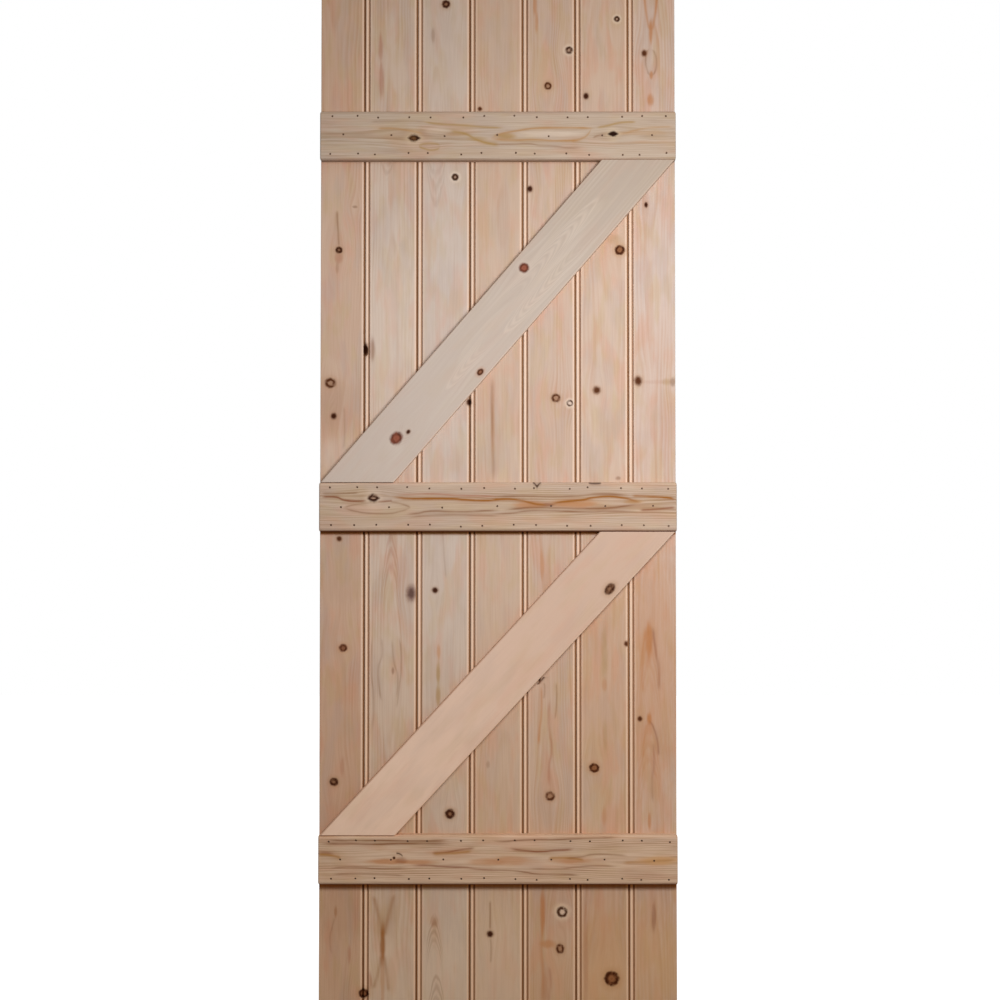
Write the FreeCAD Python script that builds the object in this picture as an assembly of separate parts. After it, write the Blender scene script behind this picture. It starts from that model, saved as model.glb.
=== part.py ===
# Ledged and braced door leaf: tongued and grooved boards, nailed to three ledges and stiffened by two braces.
#
# Frame: X runs across the leaf from the hanging edge to the closing edge, Y runs through it with the ledges
# on the -Y side, and Z runs up from the foot. The origin is on the hanging edge, at mid board thickness.
# All sizes are in millimetres.
import FreeCAD
import Part

import math
import os

# Leaf
DOOR_WIDTH = 686.0
DOOR_HEIGHT = 1981.0

# Matchboards: a bead beside each joint on the ledge side, and a vee on the other side
BOARD_THICKNESS = 15.0
BOARD_COVER = 102.0  # face width of a whole board, from joint to joint
JOINT_SHIFT = 1.8  # how far the joints are set out from the middle, towards the hanging edge
TONGUE_LENGTH = 7.0
TONGUE_THICKNESS = 5.0
TONGUE_CHAMFER = 0.8
TONGUE_CLEARANCE = 0.25  # on each cheek of the tongue
TONGUE_END_CLEARANCE = 0.8
BEAD_RADIUS = 3.0
QUIRK_WIDTH = 3.6  # mouth of the small groove between the bead and the board's face
QUIRK_FLOOR = 2.0
SHADOW_GAP = 3.6  # open joint between a bead and the board before it
VEE_DEPTH = 3.0
BOARD_ARRIS = 0.8  # small chamfer on the long corners

# Ledges and braces, planed from one stock so that their faces are flush
FRAMING_THICKNESS = 20.0
LEDGE_HEIGHT = 95.0
LEDGE_MARGIN = 248.0  # from the foot to the bottom ledge, and from the head to the top ledge
MIDDLE_LEDGE_CENTRE = 969.0
LEDGE_ROUND = 8.0  # radius on the long front corners
LEDGE_END_ROUND = 3.0
BRACE_WIDTH = 106.0
BRACE_TOE = 3.0  # from a brace's tip to the edge of the leaf
BRACE_ROUND = 3.0

# Planes across the thickness
FACE_SIDE = BOARD_THICKNESS / 2
LEDGE_SIDE = -BOARD_THICKNESS / 2
FRAMING_FRONT = LEDGE_SIDE - FRAMING_THICKNESS

# Ledge levels, each at the ledge's underside
BOTTOM_LEDGE = LEDGE_MARGIN
MIDDLE_LEDGE = MIDDLE_LEDGE_CENTRE - LEDGE_HEIGHT / 2
TOP_LEDGE = DOOR_HEIGHT - LEDGE_MARGIN - LEDGE_HEIGHT

SAME_PLACE = 1e-6


class Outline:
    """A closed outline in the XY plane, drawn from corner to corner."""

    def __init__(self, x, y):
        self.start = FreeCAD.Vector(x, y, 0)
        self.here = self.start
        self.edges = []

    def line_to(self, x, y):
        there = FreeCAD.Vector(x, y, 0)
        self.edges.append(Part.LineSegment(self.here, there).toShape())
        self.here = there

    def arc_to(self, middle_x, middle_y, x, y):
        middle = FreeCAD.Vector(middle_x, middle_y, 0)
        there = FreeCAD.Vector(x, y, 0)
        self.edges.append(Part.Arc(self.here, middle, there).toShape())
        self.here = there

    def face(self):
        self.line_to(self.start.x, self.start.y)
        return Part.Face(Part.Wire(self.edges))


def draw_sawn_left_edge(outline, x):
    """Plain edge of the leaf, drawn from the ledge side to the face side."""
    outline.line_to(x + BOARD_ARRIS, LEDGE_SIDE)
    outline.line_to(x, LEDGE_SIDE + BOARD_ARRIS)
    outline.line_to(x, FACE_SIDE - BOARD_ARRIS)
    outline.line_to(x + BOARD_ARRIS, FACE_SIDE)


def draw_sawn_right_edge(outline, x):
    """Plain edge of the leaf, drawn from the face side to the ledge side."""
    outline.line_to(x - BOARD_ARRIS, FACE_SIDE)
    outline.line_to(x, FACE_SIDE - BOARD_ARRIS)
    outline.line_to(x, LEDGE_SIDE + BOARD_ARRIS)


def draw_tongued_edge(outline, x):
    """Quirk, bead, tongue and half vee at a joint, drawn from the ledge side to the face side."""
    bead_right = x + 2 * BEAD_RADIUS
    bead_root = LEDGE_SIDE + BEAD_RADIUS
    cheek = TONGUE_THICKNESS / 2
    tip = x - TONGUE_LENGTH
    outline.line_to(bead_right + QUIRK_WIDTH, LEDGE_SIDE)
    outline.line_to(bead_right + QUIRK_FLOOR, bead_root)
    outline.line_to(bead_right, bead_root)
    outline.arc_to(x + BEAD_RADIUS, LEDGE_SIDE, x, bead_root)
    outline.line_to(x, -cheek)
    outline.line_to(tip + TONGUE_CHAMFER, -cheek)
    outline.line_to(tip, -cheek + TONGUE_CHAMFER)
    outline.line_to(tip, cheek - TONGUE_CHAMFER)
    outline.line_to(tip + TONGUE_CHAMFER, cheek)
    outline.line_to(x, cheek)
    outline.line_to(x, FACE_SIDE - VEE_DEPTH)
    outline.line_to(x + VEE_DEPTH, FACE_SIDE)


def draw_grooved_edge(outline, x):
    """Half vee, groove and set-back lip at a joint, drawn from the face side to the ledge side."""
    cheek = TONGUE_THICKNESS / 2 + TONGUE_CLEARANCE
    groove_end = x - TONGUE_LENGTH - TONGUE_END_CLEARANCE
    lip = x - SHADOW_GAP
    outline.line_to(x - VEE_DEPTH, FACE_SIDE)
    outline.line_to(x, FACE_SIDE - VEE_DEPTH)
    outline.line_to(x, cheek)
    outline.line_to(groove_end, cheek)
    outline.line_to(groove_end, -cheek)
    outline.line_to(lip, -cheek)
    outline.line_to(lip, LEDGE_SIDE + BOARD_ARRIS)


def make_board(left, right, tongued, grooved):
    """A board of full height between two joints. An edge with no joint is sawn square."""
    lip = right - SHADOW_GAP if grooved else right
    outline = Outline(lip - BOARD_ARRIS, LEDGE_SIDE)
    if tongued:
        draw_tongued_edge(outline, left)
    else:
        draw_sawn_left_edge(outline, left)
    if grooved:
        draw_grooved_edge(outline, right)
    else:
        draw_sawn_right_edge(outline, right)
    return outline.face().extrude(FreeCAD.Vector(0, 0, DOOR_HEIGHT))


def make_boards():
    """All boards from the hanging edge on. The two edge boards share what the whole boards leave over."""
    whole_boards = int(DOOR_WIDTH // BOARD_COVER) - 1
    left_over = DOOR_WIDTH - whole_boards * BOARD_COVER
    first_joint = left_over / 2 - JOINT_SHIFT
    joints = [first_joint + k * BOARD_COVER for k in range(whole_boards + 1)]
    boards = {"hanging_edge_board": make_board(0, joints[0], False, True)}
    for left, right in zip(joints, joints[1:]):
        boards[f"board_{len(boards) + 1}"] = make_board(left, right, True, True)
    boards["closing_edge_board"] = make_board(joints[-1], DOOR_WIDTH, True, False)
    return boards


def lies_in(edge, axis, value):
    """True if both ends of an edge are at that value along an axis."""
    return all(abs(getattr(v.Point, axis) - value) < SAME_PLACE for v in edge.Vertexes)


def make_ledge(underside):
    """A ledge across the whole leaf, rounded along its front corners and round its ends."""
    corner = FreeCAD.Vector(0, FRAMING_FRONT, underside)
    bar = Part.makeBox(DOOR_WIDTH, FRAMING_THICKNESS, LEDGE_HEIGHT, corner)
    levels = (underside, underside + LEDGE_HEIGHT)
    front = [e for e in bar.Edges if lies_in(e, "y", FRAMING_FRONT)]
    long_corners = [e for e in front if any(lies_in(e, "z", level) for level in levels)]
    bar = bar.makeFillet(LEDGE_ROUND, long_corners)
    ends = [e for e in bar.Edges if lies_in(e, "x", 0) or lies_in(e, "x", DOOR_WIDTH)]
    free_ends = [e for e in ends if not lies_in(e, "y", LEDGE_SIDE)]
    return bar.makeFillet(LEDGE_END_ROUND, free_ends)


def brace_run(rise):
    """How far a brace's edge runs across while it climbs that rise, so that its width is BRACE_WIDTH.

    The ends are cut level. With span the width between the two tips and run the sought length, the level cut is
    span - run, and the width is (span - run) * rise / hypot(rise, run). That is a quadratic in run.
    """
    span = DOOR_WIDTH - 2 * BRACE_TOE
    root = rise * BRACE_WIDTH * math.sqrt(span**2 + rise**2 - BRACE_WIDTH**2)
    return (span * rise**2 - root) / (rise**2 - BRACE_WIDTH**2)


def make_brace(lower_ledge, upper_ledge):
    """A brace from the lower ledge at the hanging edge to the upper ledge at the closing edge."""
    foot = lower_ledge + LEDGE_HEIGHT
    head = upper_ledge
    run = brace_run(head - foot)
    left_tip = BRACE_TOE
    right_tip = DOOR_WIDTH - BRACE_TOE
    corners = [(left_tip, foot), (right_tip - run, foot), (right_tip, head), (left_tip + run, head)]
    points = [FreeCAD.Vector(x, LEDGE_SIDE, z) for x, z in corners]
    outline = Part.makePolygon(points + points[:1])
    bar = Part.Face(outline).extrude(FreeCAD.Vector(0, -FRAMING_THICKNESS, 0))
    front = [e for e in bar.Edges if lies_in(e, "y", FRAMING_FRONT)]
    long_corners = [e for e in front if not (lies_in(e, "z", foot) or lies_in(e, "z", head))]
    return bar.makeFillet(BRACE_ROUND, long_corners)


def make_framing():
    """The three ledges and the two braces between them."""
    return {
        "bottom_ledge": make_ledge(BOTTOM_LEDGE),
        "middle_ledge": make_ledge(MIDDLE_LEDGE),
        "top_ledge": make_ledge(TOP_LEDGE),
        "lower_brace": make_brace(BOTTOM_LEDGE, MIDDLE_LEDGE),
        "upper_brace": make_brace(MIDDLE_LEDGE, TOP_LEDGE),
    }


def main():
    os.makedirs("parts", exist_ok=True)
    for name, shape in {**make_boards(), **make_framing()}.items():
        shape.exportStep(f"parts/{name}.step")
        print(f"{name}: volume {shape.Volume:.1f} mm3, valid {shape.isValid()}")


main()
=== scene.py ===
"""Looks of a ledged and braced door leaf: planed pine with rings, knots, resin streaks and punched pins."""

import logging
import math
import random
from dataclasses import dataclass
from enum import Enum
from typing import Any, Union

import bmesh
import bpy
from mathutils import Matrix, Vector

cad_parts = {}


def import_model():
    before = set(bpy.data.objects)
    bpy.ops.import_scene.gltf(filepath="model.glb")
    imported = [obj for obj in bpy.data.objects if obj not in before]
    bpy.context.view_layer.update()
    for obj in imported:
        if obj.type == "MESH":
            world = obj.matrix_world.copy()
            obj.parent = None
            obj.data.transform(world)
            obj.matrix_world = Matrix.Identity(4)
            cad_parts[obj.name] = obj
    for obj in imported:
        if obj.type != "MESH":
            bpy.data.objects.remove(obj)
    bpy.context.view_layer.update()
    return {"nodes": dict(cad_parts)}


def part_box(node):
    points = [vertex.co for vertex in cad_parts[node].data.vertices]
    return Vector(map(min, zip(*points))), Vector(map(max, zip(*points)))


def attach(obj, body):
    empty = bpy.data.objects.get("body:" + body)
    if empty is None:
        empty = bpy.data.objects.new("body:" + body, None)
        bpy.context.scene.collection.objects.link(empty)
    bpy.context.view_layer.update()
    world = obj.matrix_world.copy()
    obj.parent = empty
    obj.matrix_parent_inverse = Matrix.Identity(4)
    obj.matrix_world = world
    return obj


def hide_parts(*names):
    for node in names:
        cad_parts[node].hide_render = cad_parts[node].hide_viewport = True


LOG = logging.getLogger("door")
BODY = "root"
MM = 0.001

Colour = tuple[float, float, float]
Place = tuple[float, float, float]
Number = Union["Shade", float]


def tint(red: int, green: int, blue: int) -> Colour:
    """Turns a display colour into the linear values that shaders take.

    Args:
        red: Red, 0 to 255.
        green: Green, 0 to 255.
        blue: Blue, 0 to 255.

    Returns:
        The linear colour, 0 to 1.
    """
    shares = (red / 255, green / 255, blue / 255)
    return tuple(s / 12.92 if s <= 0.04045 else ((s + 0.055) / 1.055) ** 2.4 for s in shares)


class Shade:
    """A shader socket that can stand in Python arithmetic."""

    def __init__(self, sheet: "Sheet", socket: bpy.types.NodeSocket) -> None:
        """Wraps an output socket of a sheet's node."""
        self.sheet = sheet
        self.socket = socket

    def maths(self, operation: str, *operands: Number) -> "Shade":
        """Adds a Math node with that operation and those operands."""
        return self.sheet.node("ShaderNodeMath", {"operation": operation}, dict(enumerate(operands)))

    def __add__(self, other: Number) -> "Shade":
        """Sum of two values."""
        return self.maths("ADD", self, other)

    def __sub__(self, other: Number) -> "Shade":
        """Difference of two values."""
        return self.maths("SUBTRACT", self, other)

    def __rsub__(self, other: Number) -> "Shade":
        """A number less this value."""
        return self.maths("SUBTRACT", other, self)

    def __mul__(self, other: Number) -> "Shade":
        """Product of two values."""
        return self.maths("MULTIPLY", self, other)

    def __truediv__(self, other: Number) -> "Shade":
        """Quotient of two values."""
        return self.maths("DIVIDE", self, other)

    def __abs__(self) -> "Shade":
        """Size of this value without its sign."""
        return self.maths("ABSOLUTE", self)

    def root(self) -> "Shade":
        """Square root of this value."""
        return self.maths("SQRT", self)

    def floor(self) -> "Shade":
        """Whole number at or below this value."""
        return self.maths("FLOOR", self)

    def bell(self) -> "Shade":
        """Bell curve, 1 where this squared distance is 0, and 0 far away."""
        return self.maths("EXPONENT", self * -1.0)

    def largest(self, other: Number) -> "Shade":
        """Larger of two values."""
        return self.maths("MAXIMUM", self, other)

    def ramp(self, low: float, high: float, start: float = 0.0, end: float = 1.0) -> "Shade":
        """Smooth step between two levels.

        Args:
            low: Value at which the step starts.
            high: Value at which it ends. It may be the smaller one, for a falling step.
            start: Result at low and before it.
            end: Result at high and past it.

        Returns:
            The stepped value.
        """
        settings = {"interpolation_type": "SMOOTHSTEP"}
        if low > high:
            low, high, start, end = high, low, end, start
        inputs = {0: self, 1: low, 2: high, 3: start, 4: end}
        return self.sheet.node("ShaderNodeMapRange", settings, inputs)


class Sheet:
    """The node tree of one material, or of the world."""

    def __init__(self, tree: bpy.types.NodeTree) -> None:
        """Takes over a node tree and empties it."""
        self.tree = tree
        self.tree.nodes.clear()

    def node(self, kind: str, settings: dict[str, Any], inputs: dict[Any, Any], output: Any = 0) -> Shade:
        """Adds a node.

        Args:
            kind: Blender's type name of the node.
            settings: Its properties, set first. "points" are the points of a float curve.
            inputs: Values or links for its input sockets, by name or number.
            output: Name or number of the output socket to hand back.

        Returns:
            The output socket, ready for arithmetic.
        """
        made = self.tree.nodes.new(kind)
        for name, value in settings.items():
            if name == "points":
                self._set_points(made, value)
            else:
                setattr(made, name, value)
        for key, value in inputs.items():
            if isinstance(value, Shade):
                self.tree.links.new(value.socket, made.inputs[key])
            else:
                made.inputs[key].default_value = value
        return Shade(self, made.outputs[output] if len(made.outputs) else None)

    @staticmethod
    def _set_points(curve: bpy.types.Node, points: list[tuple[float, float]]) -> None:
        """Gives a float curve node its points, each from 0 to 1 both ways."""
        line = curve.mapping.curves[0]
        for x, y in points[1:-1]:
            line.points.new(x, y)
        line.points[0].location = points[0]
        line.points[len(points) - 1].location = points[-1]
        curve.mapping.update()

    def vector(self, x: Number, y: Number, z: Number) -> Shade:
        """Vector made of three values."""
        return self.node("ShaderNodeCombineXYZ", {}, {0: x, 1: y, 2: z})

    def dot(self, first: Shade, second: Place) -> Shade:
        """Share of a vector along a fixed direction."""
        return self.node("ShaderNodeVectorMath", {"operation": "DOT_PRODUCT"}, {0: first, 1: second}, "Value")

    def noise(self, place: Shade, detail: float = 2.0, scale: float = 1.0) -> Shade:
        """Smooth noise from 0 to 1 at a place."""
        return self.node("ShaderNodeTexNoise", {}, {"Vector": place, "Scale": scale, "Detail": detail})

    def mix(self, share: Number, first: Any, second: Any, blend: str = "MIX") -> Shade:
        """Mixes two colours.

        Args:
            share: How much of the second colour shows, 0 to 1.
            first: A colour or its socket.
            second: A colour or its socket.
            blend: Blender's name of the way of mixing.

        Returns:
            The mixed colour.
        """
        settings = {"data_type": "RGBA", "blend_type": blend, "clamp_factor": True}
        inputs = {0: share, 6: self._opaque(first), 7: self._opaque(second)}
        return self.node("ShaderNodeMix", settings, inputs, 2)

    @staticmethod
    def _opaque(colour: Any) -> Any:
        """A plain colour with the alpha that a colour socket wants, or a socket as it is."""
        return colour if isinstance(colour, Shade) else (*colour, 1.0)


@dataclass(frozen=True)
class KnotLook:
    """How one kind of knot is coloured. Widths are shares of the knot's radius."""

    rim: Colour
    heart: Colour
    heart_width: float
    softness: float
    glow: Colour
    glow_share: float
    depth: float = 0.97
    pointed: bool = False


class KnotKind(Enum):
    """The kinds of knot in this timber."""

    RING = KnotLook(tint(86, 42, 16), tint(184, 142, 114), 0.42, 0.26, tint(196, 152, 116), 0.40)
    DARK = KnotLook(tint(64, 24, 4), tint(160, 118, 90), 0.28, 0.26, tint(188, 146, 108), 0.40)
    SPOT = KnotLook(tint(66, 32, 12), tint(196, 162, 140), 0.27, 0.28, tint(250, 230, 210), 0.55)
    WHITE = KnotLook(tint(76, 42, 22), tint(238, 212, 194), 0.44, 0.22, tint(250, 228, 206), 0.55)
    PIN = KnotLook(tint(70, 30, 8), tint(54, 16, 2), 0.40, 0.46, tint(184, 138, 104), 0.35)
    SOFT = KnotLook(tint(92, 46, 16), tint(82, 36, 8), 0.40, 0.50, tint(196, 148, 112), 0.40, 0.95)
    ROSE = KnotLook(tint(82, 38, 16), tint(152, 102, 76), 0.40, 0.28, tint(204, 150, 116), 0.45)
    RED = KnotLook(tint(96, 42, 24), tint(158, 88, 66), 0.46, 0.30, tint(224, 202, 186), 0.35)
    BULL = KnotLook(tint(70, 26, 3), tint(158, 106, 72), 0.44, 0.20, tint(198, 148, 102), 0.45)
    EYE = KnotLook(tint(50, 18, 3), tint(132, 90, 54), 0.34, 0.24, tint(226, 204, 170), 0.40, 0.97, True)
    SLIT = KnotLook(tint(34, 7, 1), tint(28, 3, 0), 0.30, 0.26, tint(226, 204, 170), 0.40, 0.98, True)
    LENS = KnotLook(tint(56, 18, 2), tint(204, 164, 136), 0.36, 0.24, tint(236, 212, 188), 0.40, 0.97, True)
    FAINT = KnotLook(tint(126, 84, 58), tint(138, 94, 66), 0.40, 0.60, tint(190, 150, 114), 0.0, 0.50)
    SMEAR = KnotLook(tint(100, 66, 62), tint(80, 48, 44), 0.50, 0.65, tint(190, 150, 130), 0.3, 0.85)


@dataclass(frozen=True)
class Knot:
    """A knot in the door's plane, in millimetres from the hanging edge and above the foot."""

    x: float
    z: float
    width: float
    height: float
    kind: KnotKind


class Resin(Enum):
    """Colours that stain the grain here and there."""

    ORANGE = tint(198, 134, 84)
    BROWN = tint(142, 96, 64)
    RED = tint(178, 112, 86)
    DARK = tint(66, 36, 22)
    GOLD = tint(164, 106, 52)
    OLIVE = tint(182, 148, 100)
    RUST = tint(140, 78, 46)
    PALE = tint(250, 230, 212)
    AMBER = tint(206, 150, 108)
    HONEY = tint(222, 178, 132)
    OCHRE = tint(188, 142, 94)


@dataclass(frozen=True)
class Streak:
    """A soft stain along the grain: its middle, its size in millimetres, its colour and its strength."""

    x: float
    z: float
    width: float
    height: float
    resin: Resin
    strength: float


@dataclass(frozen=True)
class Line:
    """A strong growth line: its points in the door's plane, its width, its colour and its strength."""

    points: tuple[tuple[float, float], ...]
    width: float
    resin: Resin
    strength: float


@dataclass(frozen=True)
class Arch:
    """Nested growth lines that meet in a point, as on a flat-sawn board.

    The point is at x and z. At half the width the outer line has run back by the height, which is negative
    if the point is the lower end. The lines fill the reach behind the point, one to each pitch.
    """

    x: float
    z: float
    width: float
    height: float
    reach: float
    pitch: float
    resin: Resin
    strength: float


@dataclass(frozen=True)
class Pine:
    """The timber of one plank: its tints, and how it was cut from the log, in millimetres.

    The foot is the tint of early wood at the lower end, where it differs: painted light, lighter towards the
    lower end of a brace against the lamp's fall-off.
    """

    early: Colour
    late: Colour
    contrast: float = 0.45
    pitch: float = 4.2
    pith_across: float = 0.0
    pith_depth: float = 45.0
    drift: float = 46.0
    warmth: float = 0.36
    fibre: float = 0.16
    seed: float = 0.0
    foot: Colour | None = None


@dataclass(frozen=True)
class Plank:
    """One CAD node, its timber and its marks."""

    node: str
    pine: Pine
    knots: tuple[Knot, ...] = ()
    streaks: tuple[Streak, ...] = ()
    lines: tuple[Line, ...] = ()
    arches: tuple[Arch, ...] = ()
    # bead is the share of the painted highlight on a board's bead
    bead: float = 0.45


@dataclass(frozen=True)
class Grain:
    """Which way a plank's grain runs in the door's plane, with its middle, in millimetres."""

    FOOT_ERROR = 0.5
    LEVEL_SHARE = 0.9

    along: Vector
    across: Vector
    middle: Vector

    @classmethod
    def of_node(cls, name: str, mesh: bpy.types.Mesh) -> "Grain":
        """Finds a plank's grain from its shape.

        Args:
            name: The CAD node.
            mesh: Its mesh.

        Returns:
            The grain, along the plank's long edges.
        """
        low, high = (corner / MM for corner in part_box(name))
        foot = [v.co.x / MM for v in mesh.vertices if abs(v.co.z / MM - low.z) < cls.FOOT_ERROR]
        wide = high.x - low.x
        tall = high.z - low.z
        level_cut = max(foot) - min(foot)
        if name.endswith("brace"):
            along = Vector((wide - level_cut, 0, tall)).normalized()
        elif tall > wide:
            along = Vector((0, 0, 1))
        else:
            along = Vector((1, 0, 0))
        across = Vector((along.z, 0, -along.x))
        return cls(along, across, (low + high) / 2)

    @property
    def level(self) -> bool:
        """True if the grain runs level, as in a ledge."""
        return self.along.x > self.LEVEL_SHARE

    def local(self, x: float, z: float) -> tuple[float, float]:
        """Turns a point of the door's plane into distances across and along the plank."""
        away = Vector((x, self.middle.y, z)) - self.middle
        return away.dot(self.across), away.dot(self.along)

    def spread(self, width: float, height: float) -> tuple[float, float]:
        """Turns a mark's width and height in the door's plane into its size across and along the grain."""
        return (height, width) if self.level else (width, height)


@dataclass(frozen=True)
class Front:
    """A board's flat front between its joints, in millimetres across the grain from the board's middle."""

    LEVEL_ERROR = 0.02
    LEAST_WIDTH = 20.0
    LEAST_TONGUE = 5.0
    LEAST_LIP = 2.0

    left: float
    right: float
    tongued: bool
    grooved: bool
    depth: float

    @classmethod
    def of_node(cls, name: str, mesh: bpy.types.Mesh, grain: Grain) -> "Front":
        """Finds a board's flat front.

        Args:
            name: The CAD node.
            mesh: Its mesh.
            grain: Its grain.

        Returns:
            The front, with the half thickness of the board.
        """
        low, high = (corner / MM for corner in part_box(name))
        level = [v.co.x / MM for v in mesh.vertices if v.co.y / MM < low.y + cls.LEVEL_ERROR]
        right = max(level)
        left = max(x for x in level if x < right - cls.LEAST_WIDTH)
        middle = grain.middle.x
        tongued = left - low.x > cls.LEAST_TONGUE
        grooved = high.x - right > cls.LEAST_LIP
        return cls(left - middle, right - middle, tongued, grooved, (high.y - low.y) / 2)


class PineShader:
    """Makes the material of one plank.

    Lengths are in millimetres. A patch is its width and its length, with a shift that makes it unlike other
    patches. A step is where it starts and where it ends, with its results there if they aren't 0 and 1.
    """

    NOISE_MEAN = 0.5
    END_STEP = (0.75, 0.95)
    END_SHARE = 0.8
    END_TONE = tint(214, 186, 156)

    # Growth rings
    WARP = 0.75
    WARP_ACROSS = (1.3, 4.0)
    WARP_ALONG = (2.2, 12.0)
    DRIFT_ACROSS = 0.006
    DRIFT_ALONG = 0.0016
    DRIFT_DETAIL = 2.5
    WAVER_ACROSS = 0.02
    WAVER_ALONG = 0.006
    WAVER_SHIFT = 7.0
    WAVER_REACH = 12.0
    LATE_RISE = (0.05, 0.75)
    LATE_FALL = (1.0, 0.78)
    RING_PATCH = (34.0, 260.0, 5.0)
    RING_STEP = (0.38, 0.66, 0.25, 1.0)
    FAINTEST_YEAR = 0.2

    # Timber
    FIBRE_PITCH = 1.1
    FIBRE_LENGTH = 90.0
    FIBRE_STEP = (0.35, 0.75)
    FOOT_LIGHT_STEP = (-420.0, 420.0)
    CAST_STEP = (0.46, 0.68)
    PINK = tint(224, 164, 136)
    PINK_PATCH = (24.0, 85.0, 1.0)
    STRAW = tint(208, 182, 138)
    STRAW_PATCH = (20.0, 70.0, 2.0)
    COOL = tint(200, 182, 174)
    COOL_PATCH = (30.0, 95.0, 3.0)
    # Painted shade: darker and warmer towards the foot and the head, away from the level where the lamp is
    # brightest
    FOOT_SHADE_TONE = tint(255, 241, 222)
    FOOT_SHADE_FADE = (1250.0, 60.0)
    HEAD_SHADE_TONE = tint(246, 240, 233)
    HEAD_SHADE_FADE = (1420.0, 1900.0)

    # Arches and lines
    WANDER_PATCH = (4.0, 26.0, 9.0)
    WANDER_REACH = 1.2
    UNEVEN_PATCH = (9.0, 60.0, 12.0)
    UNEVEN_STEP = (0.3, 0.7, 0.75, 1.15)
    ARCH_PATCH = (22.0, 90.0, 14.0)
    ARCH_DRIFT = 2.2
    ARCH_WANDER = 0.35
    ARCH_RISE = (0.0, 0.55)
    ARCH_FALL = (1.0, 0.6)
    ARCH_TIP = 0.3
    ARCH_TAIL = (1.2, 0.6)
    ARCH_SIDES = (1.1, 0.7)
    LINE_MARGIN = 1.0
    LINE_WANDER = 0.4
    LINE_START = (-0.02, 0.12)
    LINE_END = (1.02, 0.88)
    LINE_CORE = 0.80
    LINE_HALO = 0.25
    HALO_FALL = 0.16

    # Painted highlights and painted shade at the edges and joints of the boards, counted from their flat
    # fronts
    # the cream of the painted highlights on board edges, ledge corners and brace sides
    HIGHLIGHT_CREAM = tint(253, 222, 199)
    EDGE_HIGHLIGHT_STEP = (5.0, 1.0)
    EDGE_HIGHLIGHT_SHARE = 0.30
    BEAD_HIGHLIGHT_STEP = (-1.5, -4.0)
    BEAD_HIGHLIGHT_GAIN = 0.2
    LIP_HIGHLIGHT_STEP = (-4.0, -1.0)
    LIP_HIGHLIGHT_SHARE = 0.80
    LEDGE_SIDE = (2.0, -1.0)
    FACE_SIDE_SHARE = 0.2
    # SHADOW is painted shade in the open joints, the quirks and the vees
    SHADOW = tint(165, 138, 112)
    JOINT_TOP = (0.6, 2.4)
    JOINT_ROOT = (13.6, 12.0)
    OPEN_SIDE = (-5.0, -8.0, 0.8, 1.0)
    TONGUE_STEP = (0.5, -0.3)
    GROOVE_STEP = (-0.3, 0.5)

    # Painted shade in the corners under the ledges
    UNDER_LEDGE_SHADE_TONE = tint(205, 152, 92)
    UNDER_LEDGE_SHADE_REACH = 18.5
    UNDER_LEDGE_SHADE_FADE = 0.0115
    UNDER_LEDGE_SHADE_LEAST = 5.0
    UNDER_LEDGE_SHADE_CORE = 0.3
    UNDER_LEDGE_SHADE_TOP = (9.0, 3.0)
    PAINTED_SHADE_LEVELS = (1600.0, 1000.0)
    BOARD_LEAST_SHADE = 0.15
    LEDGE_LEAST_SHADE = 0.35

    # Painted highlights and painted shade on the edges of the ledges and braces
    UNDERSIDE_SHADE_TONE = tint(140, 86, 46)
    UNDERSIDE_SHADE_STEP = (-0.5, -0.95)
    CORNER_HIGHLIGHT_STEP = (0.1, 0.6)
    CORNER_HIGHLIGHT_SHARE = 0.12
    SIDE_SHADE_TONE = tint(172, 138, 122)
    UPPER_BRACE = (930.0, 1010.0)
    SIDE_LIGHT_STEP = (0.08, 0.6)
    SIDE_LIGHT_SHARE = 0.8
    UPPER_LESS_LIGHT = 0.45
    SIDE_SHADE_STEP = (0.0, -0.6)
    SIDE_SHADE_SHARE = 0.5

    # Knots, in shares of their radius
    SPECKLE_DEPTH = 0.05
    ROUGH_FINENESS = 0.22
    ROUGH_REACH = 0.38
    RIM_FINENESS = 0.13
    RIM_STEP = (0.48, 0.66)
    RIM_SHARE = 0.4
    HEART_BLUR = 0.22
    HEART_DIP = (0.0, 0.3, 0.7, 1.0)
    GLOW_STEP = (2.1, 0.8)

    # Surface
    ROUGHNESS = 0.70
    FIBRE_ROUGHNESS = 0.12
    KNOT_POLISH = 0.10
    SHEEN = 0.01
    FIBRE_RELIEF = 0.6
    LATE_RELIEF = 0.5
    RELIEF = 0.3
    RELIEF_DEPTH = 0.2

    def __init__(self, plank: Plank, grain: Grain, front: Front | None = None) -> None:
        """Sets up an empty material for a plank.

        Args:
            plank: The plank with its timber and marks.
            grain: Which way its grain runs.
            front: Its flat front, if it has joints beside it.
        """
        self.plank = plank
        self.grain = grain
        self.front = front
        self.colour: Shade | Colour = plank.pine.early
        self.material = bpy.data.materials.new(plank.node + "_pine")
        self.material.use_nodes = True
        self.sheet = Sheet(self.material.node_tree)

    def build(self) -> bpy.types.Material:
        """Builds the whole shader.

        Returns:
            The finished material.
        """
        self._find_place()
        self._bend_round_knots()
        late = self._growth_rings()
        fibre = self._fibres()
        self._colour_timber(late, fibre)
        self._stain()
        if self.front:
            self._paint_edge_highlights(self.front)
        knotted = self._draw_knots()
        if self.front:
            self._paint_joint_shade(self.front)
            self._paint_shade_under_ledges()
        elif self.grain.level:
            self._paint_ledge_light_and_shade()
        else:
            self._paint_brace_light_and_shade()
        self._multiply(self.end * self.END_SHARE, self.END_TONE)
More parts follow.
